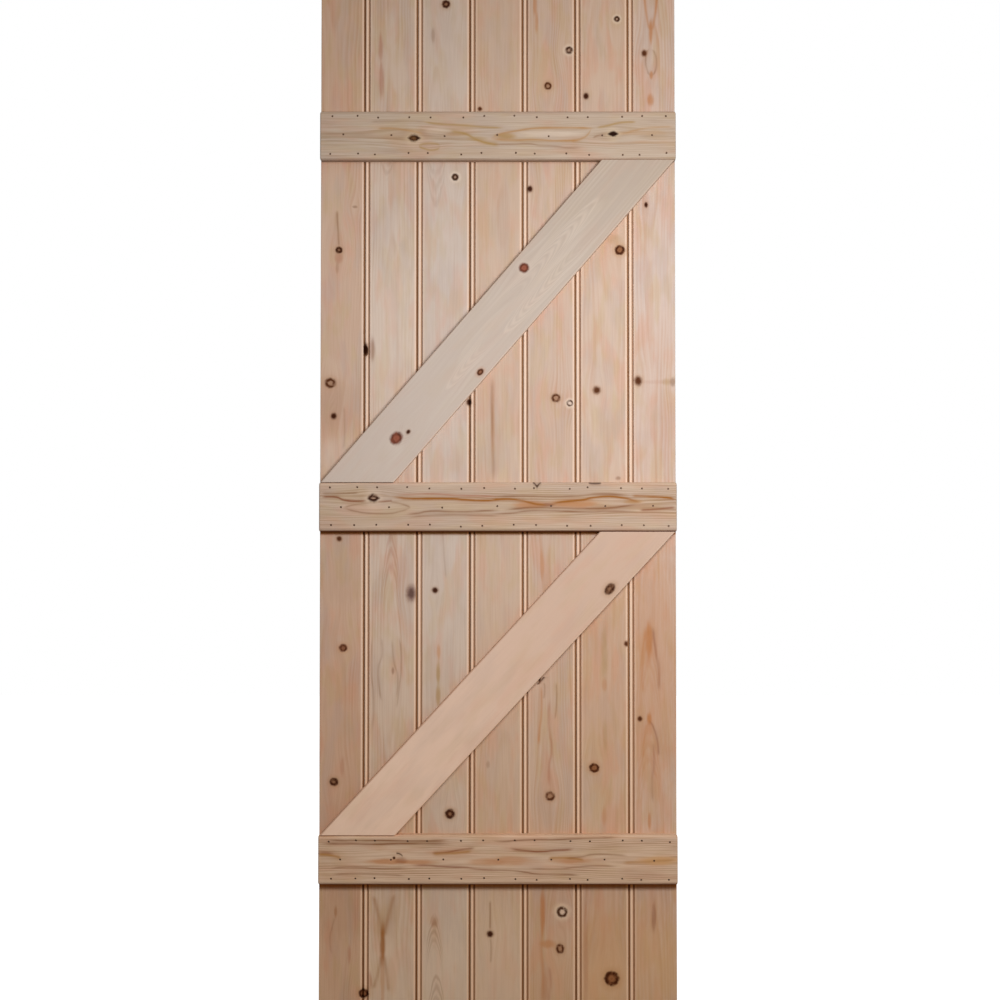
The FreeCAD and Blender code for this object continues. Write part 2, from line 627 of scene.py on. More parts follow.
        # painted shade towards the foot and the head
        self._multiply(self.height.ramp(*self.FOOT_SHADE_FADE), self.FOOT_SHADE_TONE)
        self._multiply(self.height.ramp(*self.HEAD_SHADE_FADE), self.HEAD_SHADE_TONE)
        self._finish(late, fibre, knotted)
        return self.material

    def _lay(self, share: Number, tone: Shade | Colour) -> None:
        """Lays a tone over the colour so far."""
        self.colour = self.sheet.mix(share, self.colour, tone)

    def _multiply(self, share: Number, tone: Colour) -> None:
        """Darkens the colour so far with a tone."""
        self._lay(share, self.sheet.mix(1.0, self.colour, tone, "MULTIPLY"))

    def _find_place(self) -> None:
        """Works out distances across, along and through the plank."""
        sheet = self.sheet
        place = sheet.node("ShaderNodeTexCoord", {}, {}, "Object")
        self.normal = sheet.node("ShaderNodeTexCoord", {}, {}, "Normal")
        middle = self.grain.middle
        self.across = sheet.dot(place, self.grain.across / MM) - middle.dot(self.grain.across)
        self.along = sheet.dot(place, self.grain.along / MM) - middle.dot(self.grain.along)
        self.through = sheet.dot(place, Vector((0, 1, 0)) / MM) - middle.y
        self.height = sheet.dot(place, Vector((0, 0, 1)) / MM)
        self.end = abs(sheet.dot(self.normal, self.grain.along)).ramp(*self.END_STEP)

    def _offsets(self, x: float, z: float) -> tuple[Shade, Shade]:
        """Distances from a mark, across and along the grain."""
        across, along = self.grain.local(x, z)
        return self.across - across, self.along - along

    def _beside(self, edge: float, start: float, stop: float, *results: float) -> Shade:
        """Step across the grain, with its places counted from an edge."""
        return self.across.ramp(edge + start, edge + stop, *results)

    def _patches(self, width: float, length: float, shift: float) -> Shade:
        """Soft patches stretched along the grain.

        Args:
            width: Size of a patch across the grain.
            length: Its size along the grain.
            shift: Makes one set of patches unlike another.

        Returns:
            Noise from 0 to 1.
        """
        place = self.sheet.vector(
            self.bent / width + self.plank.pine.seed + shift,
            self.through / width,
            self.along / length + shift,
        )
        return self.sheet.noise(place)

    def _speckle(self, fineness: float) -> Shade:
        """Even noise in the door's plane, 0 to 1."""
        depth = self.through * self.SPECKLE_DEPTH
        return self.sheet.noise(self.sheet.vector(self.across * fineness, depth, self.along * fineness))

    def _bend_round_knots(self) -> None:
        """Bends the grain so that its lines part round each knot."""
        bent = self.across
        for knot in self.plank.knots:
            wide, long = self.grain.spread(knot.width, knot.height)
            u, v = self._offsets(knot.x, knot.z)
            reach_across = self.WARP_ACROSS[0] * wide + self.WARP_ACROSS[1]
            reach_along = self.WARP_ALONG[0] * long + self.WARP_ALONG[1]
            away = (u * u) / reach_across**2 + (v * v) / reach_along**2
            bent = bent - u * away.bell() * self.WARP
        self.bent = bent

    def _growth_rings(self) -> Shade:
        """Cuts the plank out of a log and finds the late wood in it.

        Returns:
            How much late wood shows, 0 to 1.
        """
        sheet = self.sheet
        pine = self.plank.pine
        slow = sheet.vector(
            self.bent * self.DRIFT_ACROSS + pine.seed,
            self.through * self.DRIFT_ACROSS,
            self.along * self.DRIFT_ALONG,
        )
        drift = sheet.noise(slow, self.DRIFT_DETAIL) - self.NOISE_MEAN
        wavy = sheet.vector(
            self.along * self.WAVER_ALONG,
            pine.seed + self.WAVER_SHIFT,
            self.bent * self.WAVER_ACROSS,
        )
        waver = sheet.noise(wavy) - self.NOISE_MEAN
        sideways = self.bent - pine.pith_across + waver * self.WAVER_REACH
        inwards = self.through + pine.pith_depth + drift * pine.drift
        rings = (sideways * sideways + inwards * inwards).root() / pine.pitch
        year = rings.floor()
        phase = rings - year
        strength = sheet.node("ShaderNodeTexWhiteNoise", {"noise_dimensions": "1D"}, {"W": year}, "Value")
        late = phase.ramp(*self.LATE_RISE) * phase.ramp(*self.LATE_FALL)
        shown = self._patches(*self.RING_PATCH).ramp(*self.RING_STEP)
        return late * shown * (strength * (1 - self.FAINTEST_YEAR) + self.FAINTEST_YEAR)

    def _fibres(self) -> Shade:
        """Fine streaks along the grain, 0 to 1."""
        place = self.sheet.vector(
            self.bent / self.FIBRE_PITCH + self.plank.pine.seed,
            self.through / self.FIBRE_PITCH,
            self.along / self.FIBRE_LENGTH,
        )
        return self.sheet.noise(place)

    def _colour_timber(self, late: Shade, fibre: Shade) -> None:
        """Colours the wood before any stain or knot.

        Args:
            late: Late wood, 0 to 1.
            fibre: Fine streaks, 0 to 1.
        """
        pine = self.plank.pine
        # a lighter foot is painted light against the lamp's fall-off towards the lower end
        if pine.foot:
            self.colour = self.sheet.mix(self.along.ramp(*self.FOOT_LIGHT_STEP), pine.foot, pine.early)
        casts = (
            (self.PINK, self.PINK_PATCH),
            (self.STRAW, self.STRAW_PATCH),
            (self.COOL, self.COOL_PATCH),
        )
        for tone, patch in casts:
            self._lay(self._patches(*patch).ramp(*self.CAST_STEP) * pine.warmth, tone)
        self._lay(late * pine.contrast, pine.late)
        self._multiply(fibre.ramp(*self.FIBRE_STEP) * pine.fibre, pine.late)

    def _stain(self) -> None:
        """Lays resin streaks, arches and strong growth lines over the wood."""
        wander = (self._patches(*self.WANDER_PATCH) - self.NOISE_MEAN) * self.WANDER_REACH
        for streak in self.plank.streaks:
            wide, long = self.grain.spread(streak.width, streak.height)
            u, v = self._offsets(streak.x, streak.z)
            away = (u * u) / (wide / 2) ** 2 + (v * v) / (long / 2) ** 2 + wander
            self._lay((away * away).bell() * streak.strength, streak.resin.value)
        for arch in self.plank.arches:
            self._lay(self._arch_mask(arch, wander), arch.resin.value)
        uneven = self._patches(*self.UNEVEN_PATCH).ramp(*self.UNEVEN_STEP)
        for line in self.plank.lines:
            self._lay(self._line_mask(line, wander) * uneven, line.resin.value)

    def _arch_mask(self, arch: Arch, wander: Shade) -> Shade:
        """Where an arch's lines show.

        Args:
            arch: The arch.
            wander: Small errors that keep the lines from being even.

        Returns:
            Its mask, 0 to its strength.
        """
        u, v = self._offsets(arch.x, arch.z)
        half = arch.width / 2
        way = 1.0 if arch.height > 0 else -1.0
        behind = v * -way - u * u * (abs(arch.height) / half**2)
        drift = self._patches(*self.ARCH_PATCH) - self.NOISE_MEAN
        turns = behind / arch.pitch + wander * self.ARCH_WANDER + drift * self.ARCH_DRIFT
        phase = turns - turns.floor()
        lines = phase.ramp(*self.ARCH_RISE) * phase.ramp(*self.ARCH_FALL)
        tip = self.ARCH_TIP * arch.pitch
        within = behind.ramp(-tip, tip) * behind.ramp(*(arch.reach * share for share in self.ARCH_TAIL))
        sides = abs(u).ramp(*(half * share for share in self.ARCH_SIDES))
        return lines * within * sides * arch.strength

    def _line_mask(self, line: Line, wander: Shade) -> Shade:
        """Where a growth line shows: a narrow core in a soft halo.

        Args:
            line: The line.
            wander: Small errors that keep the line from being even.

        Returns:
            Its mask, 0 to its strength.
        """
        local = sorted(self.grain.local(x, z)[::-1] for x, z in line.points)
        start, end = local[0][0], local[-1][0]
        sides = [across for _, across in local]
        low, high = min(sides) - self.LINE_MARGIN, max(sides) + self.LINE_MARGIN
        points = [((a - start) / (end - start), (c - low) / (high - low)) for a, c in local]
        run = (self.along - start) / (end - start)
        course = self.sheet.node("ShaderNodeFloatCurve", {"points": points}, {"Value": run})
        away = (self.across - (course * (high - low) + low)) / line.width + wander * self.LINE_WANDER
        ends = run.ramp(*self.LINE_START) * run.ramp(*self.LINE_END)
        squared = away * away
        core = squared.bell() * self.LINE_CORE
        halo = (squared * self.HALO_FALL).bell() * self.LINE_HALO
        return (core + halo) * ends * line.strength

    def _paint_edge_highlights(self, front: Front) -> None:
        """Paints highlights on the bead and on the edges beside the joints, mostly on the ledge side.

        Args:
            front: The board's flat front.
        """
        pale = self.across * 0.0
        if front.tongued:
            edge = self._beside(front.left, *self.EDGE_HIGHLIGHT_STEP) * self.EDGE_HIGHLIGHT_SHARE
            bead = self._beside(front.left, *self.BEAD_HIGHLIGHT_STEP) * (self.plank.bead + self.BEAD_HIGHLIGHT_GAIN)
            pale = pale + edge + bead
        if front.grooved:
            pale = pale + self._beside(front.right, *self.LIP_HIGHLIGHT_STEP) * self.LIP_HIGHLIGHT_SHARE
        self._lay(pale * self.through.ramp(*self.LEDGE_SIDE, self.FACE_SIDE_SHARE, 1.0), self.HIGHLIGHT_CREAM)

    def _paint_joint_shade(self, front: Front) -> None:
        """Paints shade into the open joints, the quirks beside the beads and the roots of the vees.

        Args:
            front: The board's flat front.
        """
        depth = self.through + front.depth
        deep = depth.ramp(*self.JOINT_TOP) * depth.ramp(*self.JOINT_ROOT) * (1.0 - self.end)
        beside = self.across * 0.0
        if front.tongued:
            open_side = self._beside(front.left, *self.OPEN_SIDE)
            beside = beside + self._beside(front.left, *self.TONGUE_STEP) * open_side
        if front.grooved:
            beside = beside + self._beside(front.right, *self.GROOVE_STEP)
        self._multiply(deep * beside, self.SHADOW)

    def _paint_shade_under_ledges(self) -> None:
        """Paints shade on a board in the corner under each ledge, more so towards the foot."""
        painted_shade = self.across * 0.0
        for ledge in LEDGES:
            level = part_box(ledge.node)[0].z / MM
            reach = max(self.UNDER_LEDGE_SHADE_REACH - level * self.UNDER_LEDGE_SHADE_FADE, self.UNDER_LEDGE_SHADE_LEAST)
            above = self.height - level
            painted_shade = painted_shade + above.ramp(-reach, -self.UNDER_LEDGE_SHADE_CORE * reach) * above.ramp(*self.UNDER_LEDGE_SHADE_TOP)
        lower = self.height.ramp(*self.PAINTED_SHADE_LEVELS, self.BOARD_LEAST_SHADE, 1.0)
        self._multiply(painted_shade * self.through.ramp(*self.LEDGE_SIDE) * lower, self.UNDER_LEDGE_SHADE_TONE)

    def _paint_ledge_light_and_shade(self) -> None:
        """Paints a highlight on a ledge's upper corner, and paints shade on its underside, more so towards
        the foot.
        """
        up = self.sheet.dot(self.normal, (0, 0, 1))
        self._lay(up.ramp(*self.CORNER_HIGHLIGHT_STEP) * self.CORNER_HIGHLIGHT_SHARE, self.HIGHLIGHT_CREAM)
        lower = self.height.ramp(*self.PAINTED_SHADE_LEVELS, self.LEDGE_LEAST_SHADE, 1.0)
        self._multiply(up.ramp(*self.UNDERSIDE_SHADE_STEP) * lower, self.UNDERSIDE_SHADE_TONE)

    def _paint_brace_light_and_shade(self) -> None:
        """Paints light on a brace's sides, less on the upper brace, and paints shade on the upper left side
        of the lower brace.
        """
        side = self.sheet.dot(self.normal, self.grain.across)
        upper = self.height.ramp(*self.UPPER_BRACE)
        side_light = abs(side).ramp(*self.SIDE_LIGHT_STEP) * (self.SIDE_LIGHT_SHARE - upper * self.UPPER_LESS_LIGHT)
        self._lay(side_light, self.HIGHLIGHT_CREAM)
        self._multiply(side.ramp(*self.SIDE_SHADE_STEP) * (1.0 - upper) * self.SIDE_SHADE_SHARE, self.SIDE_SHADE_TONE)

    def _draw_knots(self) -> Shade:
        """Draws the knots.

        Returns:
            A mask of the knots.
        """
        sheet = self.sheet
        rough = (self._speckle(self.ROUGH_FINENESS) - self.NOISE_MEAN) * self.ROUGH_REACH
        uneven = self._speckle(self.RIM_FINENESS).ramp(*self.RIM_STEP) * self.RIM_SHARE
        knotted = self.across * 0.0
        for knot in self.plank.knots:
            look = knot.kind.value
            wide, long = self.grain.spread(knot.width, knot.height)
            u, v = self._offsets(knot.x, knot.z)
            side = abs(u) / (wide / 2) if look.pointed else (u * u) / (wide / 2) ** 2
            away = (side + (v * v) / (long / 2) ** 2).root() + rough
            inside = away.ramp(1.0 + look.softness, 1.0 - look.softness) * look.depth
            heart = away.ramp(look.heart_width + self.HEART_BLUR, look.heart_width - self.HEART_BLUR)
            rim = sheet.mix(uneven, look.rim, look.heart)
            self._lay(away.ramp(*self.GLOW_STEP) * look.glow_share, look.glow)
            self._lay(inside, sheet.mix(heart * away.ramp(*self.HEART_DIP), rim, look.heart))
            knotted = knotted.largest(inside)
        return knotted

    def _finish(self, late: Shade, fibre: Shade, knotted: Shade) -> None:
        """Joins colour, roughness and relief in the surface shader.

        Args:
            late: Late wood, 0 to 1.
            fibre: Fine streaks, 0 to 1.
            knotted: Mask of the knots.
        """
        sheet = self.sheet
        relief = fibre * self.FIBRE_RELIEF + late * self.LATE_RELIEF
        shape = {"Strength": self.RELIEF, "Distance": self.RELIEF_DEPTH * MM, "Height": relief}
        inputs = {
            "Base Color": self.colour,
            "Roughness": fibre * self.FIBRE_ROUGHNESS + self.ROUGHNESS - knotted * self.KNOT_POLISH,
            "Specular IOR Level": self.SHEEN,
            "Normal": sheet.node("ShaderNodeBump", {}, shape),
        }
        surface = sheet.node("ShaderNodeBsdfPrincipled", {}, inputs)
        sheet.node("ShaderNodeOutputMaterial", {}, {"Surface": surface})


BOARDS = (
    Plank(
        "hanging_edge_board",
        Pine(
            tint(219, 187, 164), tint(196, 150, 122),
            seed=1.3, pith_across=-20, pith_depth=60,
        ),
        knots=(
            Knot(35, 1467, 14, 14, KnotKind.DARK),
            Knot(19, 1209, 21, 19, KnotKind.RING),
            Knot(26, 1145, 11, 12, KnotKind.PIN),
            Knot(66, 1551, 9, 5, KnotKind.FAINT),
            Knot(37, 908, 10, 10, KnotKind.SOFT),
            Knot(45, 698, 16, 15, KnotKind.ROSE),
            Knot(28, 441, 17, 16, KnotKind.DARK),
            Knot(86, 38, 19, 18, KnotKind.BULL),
        ),
        streaks=(
            Streak(43, 1165, 130, 90, Resin.BROWN, 0.12),
            Streak(43, 1065, 130, 80, Resin.PALE, 0.18),
            Streak(43, 850, 130, 150, Resin.BROWN, 0.12),
            Streak(43, 190, 130, 110, Resin.BROWN, 0.16),
            Streak(43, 470, 150, 640, Resin.RED, 0.12),
            Streak(35, 1452, 16, 22, Resin.RED, 0.45),
            Streak(32, 1432, 7, 22, Resin.BROWN, 0.3),
            Streak(32, 193, 6, 22, Resin.GOLD, 0.45),
            Streak(58, 112, 7, 34, Resin.RED, 0.4),
            Streak(44, 470, 8, 36, Resin.RED, 0.3),
        ),
        lines=(
            Line(((31, 1545), (33, 1510), (35, 1472)), 2.0, Resin.BROWN, 0.55),
            Line(((31, 184), (25, 162), (21, 142), (25, 112)), 1.6, Resin.BROWN, 0.25),
            Line(((45, 1165), (47, 1120), (44, 1080)), 1.6, Resin.BROWN, 0.25),
        ),
    ),
    Plank(
        "board_2",
        Pine(
            tint(222, 201, 185), tint(196, 158, 128),
            contrast=0.5, seed=4.1, pith_across=6, pith_depth=34,
        ),
        knots=(
            Knot(176, 803, 17, 27, KnotKind.SMEAR),
            Knot(141, 654, 5, 12, KnotKind.FAINT),
            Knot(86, 38, 19, 18, KnotKind.BULL),
            Knot(86.5, 1274, 10, 24, KnotKind.PIN),
        ),
        streaks=(
            Streak(137, 40, 130, 220, Resin.PALE, 0.3),
            Streak(137, 1290, 130, 340, Resin.PALE, 0.24),
            Streak(115, 1860, 9, 60, Resin.RED, 0.5),
            Streak(117, 1800, 10, 70, Resin.RED, 0.5),
            Streak(99, 1274, 13, 44, Resin.RUST, 0.55),
            Streak(122, 134, 10, 76, Resin.GOLD, 0.85),
            Streak(122, 60, 8, 110, Resin.ORANGE, 0.4),
            Streak(97, 62, 10, 34, Resin.RED, 0.5),
        ),
        lines=(
            Line(((84.5, 1320), (84.5, 1270), (84.5, 1205)), 2.6, Resin.DARK, 0.95),
            Line(((104, 225), (116, 178), (122, 145)), 4.0, Resin.GOLD, 0.42),
            Line(((144, 228), (132, 180), (124, 145)), 4.0, Resin.GOLD, 0.42),
            Line(((121, 112), (115, 84), (104, 45)), 3.4, Resin.GOLD, 0.36),
            Line(((124, 112), (129, 84), (134, 40)), 3.4, Resin.GOLD, 0.36),
            Line(((118, 720), (120, 690), (113, 655), (115, 620), (121, 595)), 1.8, Resin.BROWN, 0.32),
            Line(((139, 715), (143, 670), (150, 640), (148, 600)), 1.8, Resin.BROWN, 0.3),
            Line(((152, 720), (157, 670), (153, 620), (148, 580)), 1.4, Resin.BROWN, 0.35),
            Line(((101, 720), (99, 660), (104, 600), (102, 540)), 1.4, Resin.BROWN, 0.35),
        ),
        arches=(
            Arch(137, 925, 46, 165, 100, 27, Resin.RED, 0.28),
            Arch(127, 1606, 44, -90, 70, 22, Resin.BROWN, 0.16),
        ),
    ),
    Plank(
        "board_3",
        Pine(
            tint(220, 202, 189), tint(200, 172, 150),
            contrast=0.30, seed=7.7, pith_across=-12, pith_depth=40, warmth=0.26,
        ),
        knots=(
            Knot(242, 1947, 16, 16, KnotKind.DARK),
            Knot(260, 1609, 14, 14, KnotKind.SPOT),
            Knot(222, 809, 11, 11, KnotKind.PIN),
            Knot(251, 380, 19, 19, KnotKind.DARK),
            Knot(287, 1172, 9, 13, KnotKind.PIN),
        ),
        streaks=(
            Streak(239, 40, 130, 240, Resin.PALE, 0.28),
            Streak(217, 1886, 8, 30, Resin.BROWN, 0.35),
            Streak(229, 690, 7, 30, Resin.AMBER, 0.6),
            Streak(228, 650, 7, 50, Resin.OLIVE, 0.7),
            Streak(228, 606, 9, 40, Resin.OLIVE, 0.7),
            Streak(221, 174, 13, 22, Resin.GOLD, 0.4),
        ),
        lines=(Line(((236, 930), (239, 880), (243, 830)), 1.6, Resin.BROWN, 0.25),),
        arches=(
            Arch(223, 1546, 40, -80, 90, 24, Resin.BROWN, 0.14),
            Arch(221, 188, 34, 70, 60, 20, Resin.BROWN, 0.28),
            Arch(225, 76, 30, 50, 60, 18, Resin.BROWN, 0.28),
        ),
        bead=0.8,
    ),
    Plank(
        "board_4",
        Pine(
            tint(218, 192, 172), tint(198, 158, 128),
            contrast=0.35, seed=11.2, pith_across=18, pith_depth=52, warmth=0.28,
        ),
        knots=(
            Knot(308, 1742, 8, 8, KnotKind.SOFT),
            Knot(287.5, 1172, 9, 13, KnotKind.PIN),
            Knot(328, 151, 12, 12, KnotKind.PIN),
        ),
        streaks=(
            Streak(341, 60, 130, 300, Resin.PALE, 0.28),
            Streak(341, 1560, 130, 260, Resin.OCHRE, 0.07),
            Streak(324, 474, 7, 14, Resin.BROWN, 0.3),
            Streak(333, 1130, 8, 130, Resin.AMBER, 0.5),
        ),
        lines=(
            Line(((331, 1222), (332, 1150), (333, 1090), (335, 1020)), 3.0, Resin.BROWN, 0.40),
            Line(((328, 215), (328, 185), (328, 158)), 1.6, Resin.BROWN, 0.5),
            Line(((328, 144), (330, 120), (329, 95)), 1.6, Resin.BROWN, 0.35),
        ),
        bead=0.3,
    ),
    Plank(
        "board_5",
        Pine(
            tint(218, 192, 174), tint(196, 150, 118),
            seed=15.9, pith_across=-4, pith_depth=30,
        ),
        knots=(
            Knot(481, 1857, 15, 15, KnotKind.SPOT),
            Knot(440, 1787, 14, 15, KnotKind.RING),
            Knot(405, 1586, 10, 12, KnotKind.PIN),
            Knot(455, 1180, 18, 16, KnotKind.RING),
            Knot(482, 1170, 13, 13, KnotKind.WHITE),
            Knot(423, 640, 5, 15, KnotKind.PIN),
            Knot(443, 414, 18, 18, KnotKind.RING),
            Knot(466, 193, 21, 21, KnotKind.WHITE),
            Knot(462, 123, 16, 18, KnotKind.RING),
        ),
        streaks=(
            Streak(415, 1948, 8, 50, Resin.ORANGE, 0.6),
            Streak(418, 1912, 7, 40, Resin.ORANGE, 0.5),
            Streak(428, 858, 8, 60, Resin.ORANGE, 0.4),
            Streak(429, 195, 10, 90, Resin.ORANGE, 0.65),
            Streak(438, 132, 28, 16, Resin.ORANGE, 0.65),
            Streak(443, 1130, 130, 160, Resin.AMBER, 0.12),
            Streak(443, 210, 130, 110, Resin.RED, 0.14),
            Streak(433, 45, 14, 60, Resin.RED, 0.4),
            Streak(443, 40, 150, 220, Resin.HONEY, 0.3),
        ),
        lines=(
            Line(((419, 627), (426, 635), (433, 643)), 2.2, Resin.DARK, 0.95),
            Line(((426, 625), (427, 580), (423, 540), (421, 510)), 2.0, Resin.ORANGE, 0.6),
            Line(((443, 600), (441, 560), (443, 530), (446, 505), (441, 465), (442, 430)),
                 2.4, Resin.RED, 0.38),
            Line(((431, 600), (433, 620), (431, 632)), 1.4, Resin.BROWN, 0.4),
            Line(((455, 632), (456, 600), (452, 560)), 1.4, Resin.BROWN, 0.4),
            Line(((428, 232), (429, 180), (426, 130), (429, 80), (427, 10)), 3.2, Resin.ORANGE, 0.42),
            Line(((440, 90), (444, 55), (441, 30), (443, 5)), 2.6, Resin.RED, 0.32),
        ),
    ),
    Plank(
        "board_6",
        Pine(
            tint(221, 195, 176), tint(198, 152, 118),
            contrast=0.36, seed=19.4, pith_across=10, pith_depth=62,
        ),
        knots=(
            Knot(574, 1918, 12, 12, KnotKind.SPOT),
            Knot(514, 1767, 10, 12, KnotKind.PIN),
            Knot(579, 1467, 20, 19, KnotKind.BULL),
            Knot(534, 1195, 14, 14, KnotKind.SOFT),
            Knot(528, 468, 20, 18, KnotKind.BULL),
            Knot(561, 66, 28, 28, KnotKind.BULL),
            Knot(590, 706, 8, 10, KnotKind.SOFT),
            Knot(575, 1025, 9, 7, KnotKind.FAINT),
        ),
        streaks=(
            Streak(545, 630, 150, 420, Resin.AMBER, 0.25),
            Streak(545, 70, 150, 260, Resin.HONEY, 0.55),
            Streak(548, 690, 12, 100, Resin.OLIVE, 0.45),
            Streak(548, 628, 10, 26, Resin.ORANGE, 0.4),
            Streak(549, 530, 10, 60, Resin.OLIVE, 0.4),
            Streak(545, 750, 130, 110, Resin.OCHRE, 0.09),
            Streak(545, 1470, 130, 110, Resin.AMBER, 0.14),
            Streak(545, 190, 130, 170, Resin.RED, 0.16),
            Streak(547, 376, 10, 36, Resin.ORANGE, 0.35),
            Streak(511, 110, 10, 240, Resin.RED, 0.3),
            Streak(566, 1488, 30, 20, Resin.OLIVE, 0.35),
        ),
    ),
    Plank(
        "closing_edge_board",
        Pine(
            tint(223, 201, 188), tint(198, 148, 112),
            seed=23.6, pith_across=2, pith_depth=36,
        ),
        knots=(
            Knot(627, 1851, 10, 12, KnotKind.SOFT),
            Knot(630, 1555, 7, 10, KnotKind.PIN),
            Knot(614, 1213, 14, 17, KnotKind.SOFT),
            Knot(681, 1211, 10, 16, KnotKind.FAINT),
            Knot(616, 562, 9, 10, KnotKind.SOFT),
        ),
        streaks=(
            Streak(641, 670, 140, 570, Resin.AMBER, 0.5),
            Streak(641, 90, 140, 260, Resin.HONEY, 0.5),
            Streak(640, 1892, 7, 46, Resin.ORANGE, 0.7),
            Streak(641, 1808, 7, 16, Resin.ORANGE, 0.7),
            Streak(639, 1760, 13, 24, Resin.ORANGE, 0.7),
            Streak(634, 562, 10, 22, Resin.ORANGE, 0.8),
            Streak(641, 1180, 130, 290, Resin.AMBER, 0.12),
            Streak(641, 210, 130, 120, Resin.RED, 0.16),
            Streak(634, 712, 13, 70, Resin.ORANGE, 0.75),
            Streak(634, 366, 7, 34, Resin.ORANGE, 0.6),
            Streak(642, 184, 9, 56, Resin.RUST, 0.45),
            Streak(650, 1211, 60, 8, Resin.RED, 0.15),
            Streak(668, 1211, 18, 14, Resin.OLIVE, 0.4),
        ),
        lines=(
            Line(((627, 1965), (632, 1925), (638, 1895)), 2.4, Resin.ORANGE, 0.7),
            Line(((653, 1965), (648, 1925), (643, 1895)), 2.4, Resin.ORANGE, 0.7),
            Line(((637, 1860), (630, 1840), (634, 1815), (640, 1806)), 1.8, Resin.BROWN, 0.4),
            Line(((637, 1860), (648, 1850), (651, 1830), (642, 1806)), 1.8, Resin.BROWN, 0.4),
            Line(((641, 740), (647, 690), (652, 660), (653, 615)), 2.6, Resin.RUST, 0.38),
            Line(((628, 740), (622, 690), (620, 650), (624, 610)), 2.8, Resin.ORANGE, 0.42),
            Line(((634, 560), (642, 545), (649, 522), (652, 490)), 2.0, Resin.RUST, 0.4),
            Line(((634, 556), (627, 540), (624, 515), (623, 485)), 2.0, Resin.ORANGE, 0.45),
            Line(((640, 520), (643, 480), (639, 440), (642, 400)), 2.4, Resin.RUST, 0.25),
        ),
        arches=(
            Arch(634, 745, 52, 170, 120, 30, Resin.ORANGE, 0.22),
            Arch(634, 560, 52, 130, 110, 30, Resin.ORANGE, 0.20),
        ),
        bead=0.6,
    ),
)

